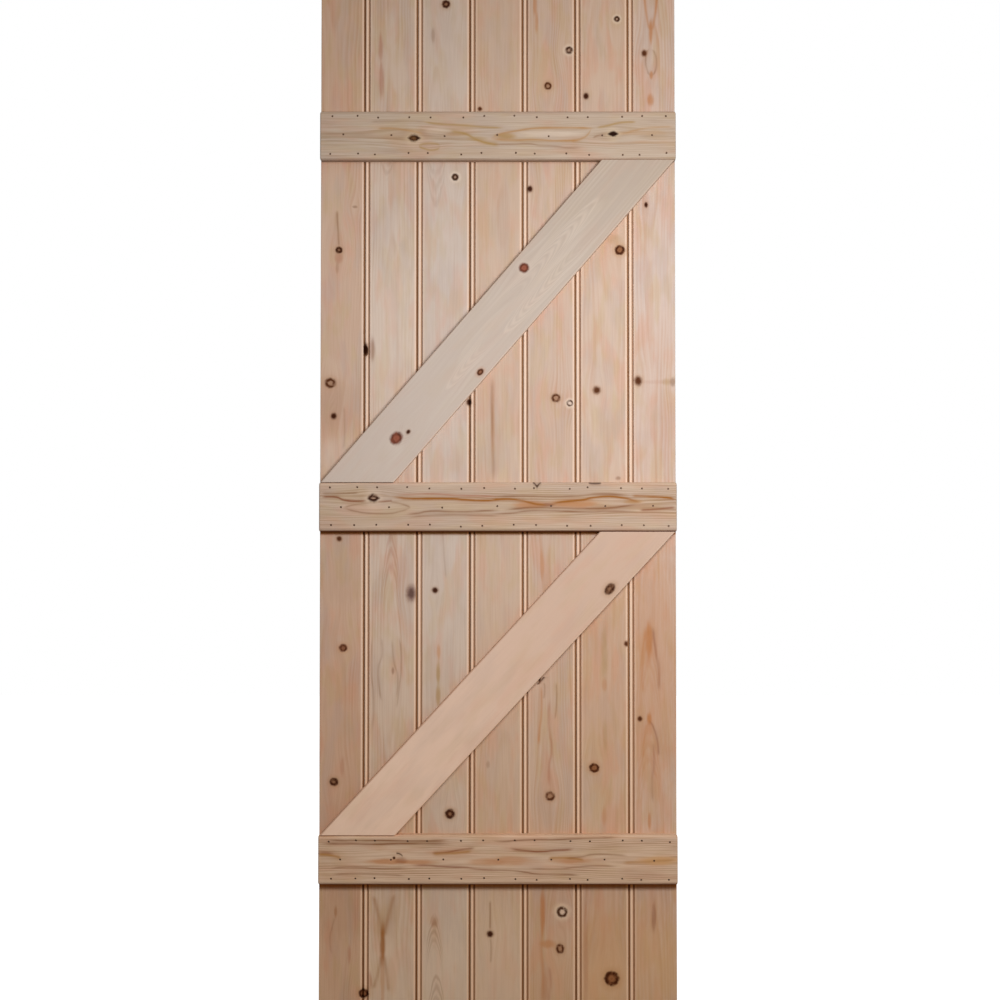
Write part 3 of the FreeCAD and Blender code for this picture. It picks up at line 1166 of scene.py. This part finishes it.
LEDGES = (
    Plank(
        "top_ledge",
        Pine(
            tint(211, 192, 174), tint(168, 132, 96),
            contrast=0.55, pitch=3.4, seed=31.0, pith_depth=30, drift=36, warmth=0.26, fibre=0.32,
        ),
        knots=(
            Knot(181, 1680, 24, 14, KnotKind.EYE),
            Knot(565, 1688, 21, 10, KnotKind.SLIT),
        ),
        streaks=(
            Streak(357, 1684, 40, 13, Resin.OLIVE, 0.85),
            Streak(440, 1688, 130, 12, Resin.PALE, 0.3),
            Streak(300, 1652, 460, 16, Resin.OCHRE, 0.16),
            Streak(225, 1694, 44, 16, Resin.PALE, 0.22),
            Streak(303, 1679, 40, 9, Resin.OLIVE, 0.5),
            Streak(262, 1687, 34, 7, Resin.OCHRE, 0.38),
            Streak(625, 1690, 110, 9, Resin.OCHRE, 0.38),
            Streak(640, 1672, 90, 6, Resin.OCHRE, 0.26),
            Streak(150, 1655, 80, 12, Resin.BROWN, 0.12),
        ),
        lines=(
            Line(((96, 1712), (130, 1713), (170, 1713), (205, 1712)), 1.6, Resin.BROWN, 0.34),
            Line(((195, 1713), (235, 1707), (272, 1705), (308, 1702), (355, 1700)), 1.8, Resin.OLIVE, 0.75),
            Line(((109, 1698), (134, 1699), (170, 1695), (201, 1687)), 1.9, Resin.OCHRE, 0.66),
            Line(((249, 1694), (278, 1689), (300, 1678), (323, 1670), (347, 1667)), 2.8, Resin.OLIVE, 0.95),
            Line(((190, 1665), (201, 1669), (215, 1670), (232, 1665)), 1.6, Resin.OLIVE, 0.7),
            Line(((190, 1664), (203, 1659), (215, 1657), (232, 1664)), 1.6, Resin.OLIVE, 0.8),
            Line(((330, 1679), (352, 1689), (379, 1694), (414, 1699), (459, 1700), (502, 1700), (530, 1698)),
                 1.7, Resin.OCHRE, 0.8),
            Line(((484, 1674), (504, 1679), (516, 1687), (524, 1702)), 2.2, Resin.OCHRE, 0.6),
            Line(((330, 1682), (346, 1677), (379, 1676), (410, 1677), (459, 1675), (508, 1676)),
                 1.7, Resin.OCHRE, 0.8),
            Line(((328, 1668), (369, 1668), (400, 1669), (426, 1665), (455, 1664), (482, 1661), (507, 1663)),
                 1.6, Resin.BROWN, 0.42),
            Line(((533, 1700), (554, 1704), (581, 1710), (610, 1711)), 1.8, Resin.OLIVE, 0.8),
            Line(((525, 1680), (540, 1686), (554, 1688), (572, 1688)), 1.6, Resin.BROWN, 0.5),
            Line(((566, 1688), (585, 1689), (603, 1694), (636, 1700), (683, 1702)), 1.9, Resin.OCHRE, 0.46),
        ),
    ),
    Plank(
        "middle_ledge",
        Pine(
            tint(215, 190, 168), tint(164, 122, 84),
            contrast=0.8, pitch=3.4, seed=37.0, pith_depth=26, drift=36, warmth=0.26, fibre=0.30,
        ),
        knots=(Knot(104, 986, 24, 15, KnotKind.LENS),),
        streaks=(
            Streak(404, 973, 60, 15, Resin.ORANGE, 0.7),
            Streak(486, 975, 92, 17, Resin.ORANGE, 0.7),
            Streak(439, 973, 26, 7, Resin.RUST, 0.6),
            Streak(602, 979, 36, 9, Resin.OCHRE, 0.7),
        ),
        lines=(
            Line(((409, 1018), (414, 1013), (419, 1007)), 2.4, Resin.DARK, 0.95),
            Line(((417, 1007), (422, 1013), (427, 1018)), 2.4, Resin.DARK, 0.95),
            Line(((516, 1016), (524, 1014), (533, 1014), (542, 1016)), 1.8, Resin.DARK, 0.95),
            Line(((4, 988), (30, 988), (49, 982), (73, 980), (94, 984)), 2.0, Resin.RUST, 0.94),
            Line(((4, 995), (43, 995), (77, 996)), 1.5, Resin.BROWN, 0.5),
            Line(((112, 979), (128, 980), (141, 981)), 1.5, Resin.RUST, 0.62),
            Line(((139, 991), (155, 987), (177, 985), (210, 985), (249, 985), (278, 983), (312, 981),
                  (347, 982)),
                 2.5, Resin.GOLD, 0.95),
            Line(((147, 996), (171, 993), (210, 994), (269, 991), (347, 989)), 1.5, Resin.RED, 0.62),
            Line(((47, 967), (73, 974), (96, 976), (116, 977)), 1.6, Resin.BROWN, 0.45),
            Line(((136, 979), (157, 975), (176, 968)), 1.6, Resin.BROWN, 0.45),
            Line(((47, 967), (69, 961), (96, 957), (128, 956), (157, 961), (176, 968)),
                 1.6, Resin.BROWN, 0.5),
            Line(((165, 954), (190, 957), (220, 961), (249, 960), (288, 960), (327, 962), (347, 962)),
                 1.8, Resin.BROWN, 0.69),
            Line(((171, 947), (200, 952), (249, 954), (308, 953), (347, 953)), 1.5, Resin.BROWN, 0.44),
            Line(((328, 982), (358, 984), (383, 982), (405, 977), (420, 974), (439, 973)),
                 2.2, Resin.GOLD, 0.95),
            Line(((439, 974), (471, 979), (502, 982), (526, 987), (553, 989), (579, 987), (602, 982),
                  (616, 977)),
                 2.2, Resin.GOLD, 0.95),
            Line(((354, 963), (383, 966), (414, 968), (450, 967), (502, 966), (553, 967), (583, 970),
                  (614, 976)),
                 1.8, Resin.BROWN, 0.75),
            Line(((328, 955), (369, 957), (399, 961), (430, 962), (471, 961), (512, 959), (553, 961),
                  (610, 961)),
                 1.8, Resin.BROWN, 0.62),
            Line(((614, 963), (638, 964), (663, 966), (684, 968)), 2.0, Resin.RUST, 0.75),
            Line(((328, 988), (385, 990), (442, 989), (491, 990), (516, 992), (544, 994), (573, 993),
                  (598, 990)),
                 1.8, Resin.BROWN, 0.62),
            Line(((598, 990), (634, 989), (665, 987), (684, 983)), 2.1, Resin.GOLD, 0.94),
        ),
    ),
    Plank(
        "bottom_ledge",
        Pine(
            tint(233, 209, 190), tint(168, 122, 84),
            contrast=0.9, pitch=3.4, seed=43.0, pith_depth=24, drift=36, warmth=0.26, fibre=0.32,
        ),
        knots=(Knot(145, 300, 5, 5, KnotKind.PIN),),
        streaks=(
            Streak(14, 308, 30, 7, Resin.RUST, 0.5),
            Streak(133, 293, 80, 12, Resin.ORANGE, 0.7),
            Streak(188, 292, 66, 10, Resin.ORANGE, 0.61),
            Streak(158, 295, 22, 13, Resin.RUST, 0.42),
            Streak(322, 293, 70, 14, Resin.ORANGE, 0.49),
            Streak(368, 294, 84, 18, Resin.ORANGE, 0.49),
            Streak(480, 295, 76, 13, Resin.ORANGE, 0.53),
            Streak(650, 295, 80, 16, Resin.HONEY, 0.85),
            Streak(250, 311, 80, 7, Resin.ORANGE, 0.41),
        ),
        lines=(
            Line(((12, 334), (45, 333), (78, 333), (133, 333), (191, 332), (250, 334)),
                 1.6, Resin.BROWN, 0.75),
            Line(((1, 329), (31, 327), (65, 327), (105, 326), (152, 327), (211, 327), (253, 327)),
                 1.9, Resin.BROWN, 0.78),
            Line(((1, 306), (22, 305), (45, 299)), 2.5, Resin.OCHRE, 0.88),
            Line(((178, 285), (207, 286), (230, 284), (250, 283), (279, 282), (302, 279), (347, 276)),
                 2.0, Resin.RUST, 0.6),
            Line(((217, 309), (240, 310), (269, 315), (300, 319)), 1.8, Resin.RUST, 0.6),
            Line(((217, 308), (250, 308), (273, 310), (294, 313)), 2.5, Resin.OCHRE, 0.75),
            Line(((149, 309), (155, 308), (162, 303)), 1.2, Resin.DARK, 0.95),
            Line(((22, 278), (47, 282), (80, 282), (113, 280), (172, 282)), 1.4, Resin.BROWN, 0.5),
            Line(((28, 269), (65, 270), (121, 269), (168, 266)), 1.4, Resin.BROWN, 0.5),
            Line(((332, 335), (352, 331), (375, 333), (413, 335), (450, 335), (480, 336), (507, 337),
                  (541, 338), (576, 339)),
                 1.8, Resin.BROWN, 0.75),
            Line(((365, 318), (383, 315), (401, 313), (425, 312), (450, 314), (474, 315), (489, 318)),
                 2.0, Resin.RUST, 0.72),
            Line(((438, 299), (470, 300), (495, 298), (509, 294)), 2.2, Resin.OCHRE, 0.88),
            Line(((580, 291), (612, 292), (645, 294), (683, 296)), 2.5, Resin.OCHRE, 0.62),
            Line(((470, 299), (501, 302), (531, 307), (562, 306), (592, 304)), 1.5, Resin.BROWN, 0.5),
            Line(((328, 277), (369, 276), (395, 273), (425, 269), (458, 269), (501, 267)),
                 1.5, Resin.BROWN, 0.62),
            Line(((401, 280), (450, 279), (495, 283), (531, 285), (572, 283)), 1.5, Resin.BROWN, 0.5),
        ),
    ),
)

BRACES = (
    Plank(
        "upper_brace",
        Pine(
            tint(196, 179, 164), tint(222, 207, 193),
            contrast=0.45, pitch=6.0, drift=80, seed=51.0, pith_depth=30, warmth=0.07, fibre=0.12,
            foot=tint(216, 198, 185),
        ),
        knots=(
            Knot(393, 1429, 19, 19, KnotKind.RED),
            Knot(309, 1228, 11, 15, KnotKind.ROSE),
            Knot(148, 1101, 22, 26, KnotKind.RED),
            Knot(171, 1113, 7, 9, KnotKind.PIN),
        ),
        arches=(
            Arch(538, 1566, 46, 190, 240, 26, Resin.PALE, 0.16),
            Arch(350, 1296, 40, -150, 220, 22, Resin.PALE, 0.17),
            Arch(238, 1190, 36, -130, 110, 20, Resin.PALE, 0.17),
            Arch(140, 1084, 34, -26, 40, 9, Resin.BROWN, 0.12),
        ),
    ),
    Plank(
        "lower_brace",
        Pine(
            tint(219, 188, 168), tint(208, 172, 148),
            contrast=0.03, seed=57.0, pith_depth=70, warmth=0.14, fibre=0.08, foot=tint(252, 224, 208),
        ),
        knots=(Knot(557, 812, 17, 24, KnotKind.DARK),),
    ),
)


@dataclass(frozen=True)
class Steel:
    """Finish of the pins: dull grey steel, dark in the punched holes."""

    colour: Colour = tint(84, 62, 46)
    roughness: float = 0.5
    metallic: float = 0.6
    rust_fineness: float = 900.0
    rust_step: tuple[float, float] = (0.4, 0.7)
    rust_share: float = 0.5

    def material(self) -> bpy.types.Material:
        """Builds the pins' material.

        Returns:
            The material.
        """
        made = bpy.data.materials.new("pin_steel")
        made.use_nodes = True
        sheet = Sheet(made.node_tree)
        place = sheet.node("ShaderNodeTexCoord", {}, {}, "Object")
        rust = sheet.noise(place, scale=self.rust_fineness).ramp(*self.rust_step)
        colour = sheet.mix(rust * self.rust_share, self.colour, Resin.DARK.value)
        inputs = {"Base Color": colour, "Roughness": self.roughness, "Metallic": self.metallic}
        surface = sheet.node("ShaderNodeBsdfPrincipled", {}, inputs)
        sheet.node("ShaderNodeOutputMaterial", {}, {"Surface": surface})
        return made


class Carver:
    """Cuts holes into a copy of a CAD node, and puts the copy in its place."""

    SEGMENTS = 12
    FLOOR_SHARE = 0.6
    MOUTH_SHARE = 1.4
    SCOOP_DETAIL = 2
    SMOOTH_ANGLE = 35.0
    FLAT_WEIGHT = 100

    def __init__(self, node: bpy.types.Object) -> None:
        """Starts a carving of a node, with nothing cut yet."""
        self.node = node
        self.cutters = bmesh.new()

    def bore(self, spot: Vector, radius: float, depth: float, into: float) -> None:
        """Adds a punched hole.

        Args:
            spot: Its place on the surface, in metres.
            radius: Its radius at the surface, in millimetres.
            depth: Its depth, in millimetres.
            into: 1 if it goes towards +Y, and -1 towards -Y.
        """
        turn = Matrix.Rotation(math.radians(90 * into), 4, "X")
        bmesh.ops.create_cone(
            self.cutters,
            cap_ends=True,
            segments=self.SEGMENTS,
            radius1=radius * MM * self.FLOOR_SHARE,
            radius2=radius * MM * self.MOUTH_SHARE,
            depth=2 * depth * MM,
            matrix=Matrix.Translation(spot) @ turn,
        )

    def scoop(self, spot: Vector, radii: Vector) -> None:
        """Adds a rounded pit, with its middle and its radii in metres."""
        place = Matrix.Translation(spot) @ Matrix.Diagonal((*radii, 1.0))
        bmesh.ops.create_icosphere(self.cutters, subdivisions=self.SCOOP_DETAIL, radius=1.0, matrix=place)

    def finish(self, material: bpy.types.Material) -> bpy.types.Object:
        """Cuts everything at once.

        Args:
            material: Its material.

        Returns:
            The carved piece.
        """
        name = self.node.name
        data = bpy.data.meshes.new(name + "_cutters")
        self.cutters.to_mesh(data)
        self.cutters.free()
        cutter = bpy.data.objects.new(name + "_cutters", data)
        piece = bpy.data.objects.new(name + "_carved", self.node.data.copy())
        for made in (cutter, piece):
            bpy.context.scene.collection.objects.link(made)
        cut = piece.modifiers.new("cut", "BOOLEAN")
        cut.operation = "DIFFERENCE"
        cut.solver = "EXACT"
        cut.object = cutter
        bpy.context.view_layer.update()
        shown = piece.evaluated_get(bpy.context.evaluated_depsgraph_get())
        carved = bpy.data.meshes.new_from_object(shown)
        piece.modifiers.clear()
        piece.data = carved
        if "custom_normal" in carved.attributes:
            carved.attributes.remove(carved.attributes["custom_normal"])
        carved.shade_smooth()
        carved.set_sharp_from_angle(angle=math.radians(self.SMOOTH_ANGLE))
        level = piece.modifiers.new("flat_faces", "WEIGHTED_NORMAL")
        level.keep_sharp = True
        level.weight = self.FLAT_WEIGHT
        bpy.data.objects.remove(cutter)
        carved.materials.clear()
        carved.materials.append(material)
        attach(piece, BODY)
        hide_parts(self.node.name)
        return piece


@dataclass(frozen=True)
class Pins:
    """Sunk pins, with the sizes of their heads and holes in millimetres."""

    hole_radius: float = 2.1
    hole_depth: float = 2.6
    head_radius: float = 1.8
    head_drop: float = 1.3
    head_height: float = 2.0
    head_taper: float = 0.8
    sides: int = 12

    def drive(self, name: str, spots: list[Vector], into: float, steel: bpy.types.Material) -> None:
        """Sets a pin's head in each hole.

        Args:
            name: Name of the row of pins.
            spots: The pins' places on the surface, in metres.
            into: 1 if they go towards +Y, and -1 towards -Y.
            steel: Their material.
        """
        mesh = bmesh.new()
        turn = Matrix.Rotation(math.radians(90 * into), 4, "X")
        drop = (self.head_drop + self.head_height / 2) * MM * into
        for spot in spots:
            bmesh.ops.create_cone(
                mesh,
                cap_ends=True,
                segments=self.sides,
                radius1=self.head_radius * MM * self.head_taper,
                radius2=self.head_radius * MM,
                depth=self.head_height * MM,
                matrix=Matrix.Translation(spot + Vector((0, drop, 0))) @ turn,
            )
        data = bpy.data.meshes.new(name)
        mesh.to_mesh(data)
        mesh.free()
        data.materials.append(steel)
        made = bpy.data.objects.new(name, data)
        bpy.context.scene.collection.objects.link(made)
        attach(made, BODY)
        LOG.info("%s: %d driven", name, len(spots))


def dress(node: bpy.types.Object, material: bpy.types.Material) -> None:
    """Gives a CAD node its timber.

    Args:
        node: The node, which keeps its shape.
        material: Its material.
    """
    node.data.materials.clear()
    node.data.materials.append(material)


@dataclass
class Leaf:
    """The upright boards, pinned to the braces from the face side. Lengths are in millimetres."""

    nodes: dict[str, bpy.types.Object]
    pins: Pins
    steel: bpy.types.Material
    slot: str = "board_pine"
    pin_offset: float = 27.0
    pin_slant: float = 0.4
    bark_hole: Place = (88.5, -7.5, 1271.0)
    bark_radii: Place = (4.2, 5.0, 10.5)
    bark_board: str = "board_2"

    def build(self, boards: tuple[Plank, ...], braces: tuple[Plank, ...]) -> None:
        """Carves and dresses every board.

        Args:
            boards: The boards, from the hanging edge on.
            braces: The braces that the boards are pinned to.
        """
        for plank in boards:
            node = self.nodes[plank.node]
            grain = Grain.of_node(plank.node, node.data)
            front = Front.of_node(plank.node, node.data, grain)
            material = PineShader(plank, grain, front).build()
            spots = [s for brace in braces for s in self._spots(plank.node, brace.node)]
            carver = Carver(node)
            for spot in spots:
                carver.bore(spot, self.pins.hole_radius, self.pins.hole_depth, -1.0)
            if plank.node == self.bark_board:
                carver.scoop(Vector(self.bark_hole) * MM, Vector(self.bark_radii) * MM)
            if spots:
                carver.finish(material)
                self.pins.drive(plank.node + "_pins", spots, -1.0, self.steel)
            else:
                dress(node, material)
            LOG.info("%s dressed, %d knots", plank.node, len(plank.knots))

    def _spots(self, board: str, brace: str) -> list[Vector]:
        """Sets out a board's two pins into a brace.

        Args:
            board: The board.
            brace: The brace.

        Returns:
            The pins' places on the board's face side, in metres. None where the brace ends beside the board.
        """
        low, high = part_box(brace)
        mesh = self.nodes[brace].data
        cut = max(v.co.x for v in mesh.vertices if v.co.z < low.z + MM) - low.x
        start, end = low.x + cut / 2, high.x - cut / 2
        board_low, board_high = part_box(board)
        x = (board_low.x + board_high.x) / 2
        if not start < x < end:
            return []
        z = low.z + (high.z - low.z) * (x - start) / (end - start)
        offset = self.pin_offset * MM
        drop = offset * self.pin_slant
        return [Vector((x + side * offset, board_high.y, z - side * drop)) for side in (-1, 1)]


@dataclass
class Braces:
    """The two braces, which keep their CAD shapes."""

    nodes: dict[str, bpy.types.Object]
    slot: str = "brace_pine"

    def build(self, braces: tuple[Plank, ...]) -> None:
        """Dresses both braces.

        Args:
            braces: The braces.
        """
        for plank in braces:
            node = self.nodes[plank.node]
            grain = Grain.of_node(plank.node, node.data)
            dress(node, PineShader(plank, grain).build())
            LOG.info("%s dressed", plank.node)


@dataclass
class Ledges:
    """The three ledges, bored for the pins that hold the boards. Lengths are in millimetres."""

    nodes: dict[str, bpy.types.Object]
    pins: Pins
    steel: bpy.types.Material
    slot: str = "ledge_pine"
    row_margin: float = 11.5
    left_inset: float = 23.0
    right_inset: float = 16.0
    jitter: float = 3.5
    upright_share: float = 0.6
    seed: int = 5

    def build(self, ledges: tuple[Plank, ...], boards: tuple[Plank, ...]) -> None:
        """Bores, dresses and pins every ledge.

        Args:
            ledges: The ledges.
            boards: The boards behind them, from the hanging edge on.
        """
        draw = random.Random(self.seed)
        for plank in ledges:
            node = self.nodes[plank.node]
            spots = self._spots(plank.node, boards, draw)
            carver = Carver(node)
            for spot in spots:
                carver.bore(spot, self.pins.hole_radius, self.pins.hole_depth, 1.0)
            grain = Grain.of_node(plank.node, node.data)
            carver.finish(PineShader(plank, grain).build())
            self.pins.drive(plank.node + "_pins", spots, 1.0, self.steel)
            LOG.info("%s dressed", plank.node)

    def _spots(self, node: str, boards: tuple[Plank, ...], draw: random.Random) -> list[Vector]:
        """Sets out the pins of one ledge: two rows near its edges and one pin in each board's middle.

        Args:
            node: The ledge.
            boards: The boards behind it.
            draw: Source of the small errors of setting out.

        Returns:
            The pins' places on the ledge's front, in metres.
        """
        low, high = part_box(node)
        margin = self.row_margin * MM
        spots = []
        left = low.x
        for board in boards:
            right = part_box(board.node)[1].x
            rows = [
                (left + self.left_inset * MM, high.z - margin),
                (right - self.right_inset * MM, high.z - margin),
                ((left + right) / 2, (low.z + high.z) / 2),
                (left + self.left_inset * MM, low.z + margin),
                (right - self.right_inset * MM, low.z + margin),
            ]
            for x, z in rows:
                shift_x = draw.uniform(-self.jitter, self.jitter) * MM
                shift_z = draw.uniform(-self.jitter, self.jitter) * MM * self.upright_share
                spots.append(Vector((x + shift_x, low.y, z + shift_z)))
            left = right
        return spots


@dataclass
class Studio:
    """Camera, lamps, world and floor. Lengths are in metres."""

    camera_place: Place = (0.347, -3.0075, 0.910)
    camera_pitch: float = 1.39
    lens: float = 56.0
    sensor: float = 36.0
    key_place: Place = (0.83, -1.4, 1.42)
    key_target: Place = (0.52, 0.0, 1.05)
    key_size: float = 0.5
    key_power: float = 16.6
    back_place: Place = (-0.9, 2.4, 1.7)
    back_size: float = 1.0
    back_power: float = 42.0
    ambient: float = 0.28
    floor_drop: float = 0.003
    floor_reach: float = 6.0
    floor_tone: float = 0.45
    floor_roughness: float = 0.9
    floor_glow: float = 0.80
    glow_start: float = 0.5
    glow_end: float = 1.3

    def build(self) -> None:
        """Sets up the whole studio."""
        self._camera()
        target = Vector(self.key_target)
        self._lamp("key", self.key_place, target, self.key_size, self.key_power)
        self._lamp("back", self.back_place, target, self.back_size, self.back_power)
        self._world()
        self._floor()
        bpy.context.scene.view_settings.view_transform = "Standard"
        LOG.info("studio set up")

    def _camera(self) -> None:
        """Sets the camera at the photograph's viewing angle."""
        data = bpy.data.cameras.new("camera")
        data.lens = self.lens
        data.sensor_width = self.sensor
        camera = bpy.data.objects.new("camera", data)
        camera.location = self.camera_place
        camera.rotation_euler = (math.radians(90 + self.camera_pitch), 0, 0)
        bpy.context.scene.collection.objects.link(camera)
        bpy.context.scene.camera = camera

    @staticmethod
    def _lamp(name: str, place: Place, target: Vector, size: float, power: float) -> None:
        """Hangs a square soft lamp.

        Args:
            name: Its name.
            place: Where it hangs.
            target: The point it faces.
            size: Its side.
            power: Its power in watts.
        """
        data = bpy.data.lights.new(name, "AREA")
        data.size = size
        data.energy = power
        lamp = bpy.data.objects.new(name, data)
        lamp.location = place
        lamp.rotation_euler = (target - lamp.location).to_track_quat("-Z", "Y").to_euler()
        lamp.visible_camera = False
        bpy.context.scene.collection.objects.link(lamp)

    def _world(self) -> None:
        """Makes a white background that lights the object only a little."""
        world = bpy.data.worlds.new("studio")
        bpy.context.scene.world = world
        world.use_nodes = True
        sheet = Sheet(world.node_tree)
        seen = sheet.node("ShaderNodeLightPath", {}, {}, "Is Camera Ray")
        glossy = sheet.node("ShaderNodeLightPath", {}, {}, "Is Glossy Ray")
        clear = sheet.node("ShaderNodeLightPath", {}, {}, "Is Transmission Ray")
        shown = seen.largest(glossy).largest(clear)
        strength = shown * (1.0 - self.ambient) + self.ambient
        inputs = {"Color": (1, 1, 1, 1), "Strength": strength}
        background = sheet.node("ShaderNodeBackground", {}, inputs)
        sheet.node("ShaderNodeOutputWorld", {}, {"Surface": background})

    def _floor(self) -> None:
        """Lays a pale floor just under the leaf."""
        mesh = bmesh.new()
        bmesh.ops.create_grid(mesh, x_segments=1, y_segments=1, size=self.floor_reach)
        data = bpy.data.meshes.new("floor")
        mesh.to_mesh(data)
        mesh.free()
        floor = bpy.data.objects.new("floor", data)
        floor.location = (self.key_target[0], 0, -self.floor_drop)
        bpy.context.scene.collection.objects.link(floor)
        made = bpy.data.materials.new("floor_white")
        made.use_nodes = True
        sheet = Sheet(made.node_tree)
        seen = sheet.node("ShaderNodeLightPath", {}, {}, "Is Camera Ray")
        place = sheet.node("ShaderNodeTexCoord", {}, {}, "Object")
        away = sheet.node("ShaderNodeVectorMath", {"operation": "LENGTH"}, {0: place}, "Value")
        glow = seen * away.ramp(self.glow_start, self.glow_end, self.floor_glow, 1.0)
        inputs = {
            "Base Color": (*[self.floor_tone] * 3, 1),
            "Roughness": self.floor_roughness,
            "Specular IOR Level": 0.0,
            "Emission Color": sheet.mix(glow, (0.0, 0.0, 0.0), (1.0, 1.0, 1.0)),
            "Emission Strength": 1.0,
        }
        surface = sheet.node("ShaderNodeBsdfPrincipled", {}, inputs)
        sheet.node("ShaderNodeOutputMaterial", {}, {"Surface": surface})
        data.materials.append(made)


def main() -> None:
    """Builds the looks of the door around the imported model."""
    logging.basicConfig(level=logging.INFO, format="%(name)s: %(message)s")
    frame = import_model()
    nodes = frame["nodes"]
    pins = Pins()
    steel = Steel().material()
    Leaf(nodes, pins, steel).build(BOARDS, BRACES)
    Braces(nodes).build(BRACES)
    Ledges(nodes, pins, steel).build(LEDGES, BOARDS)
    Studio().build()


if __name__ == "__main__":
    main()
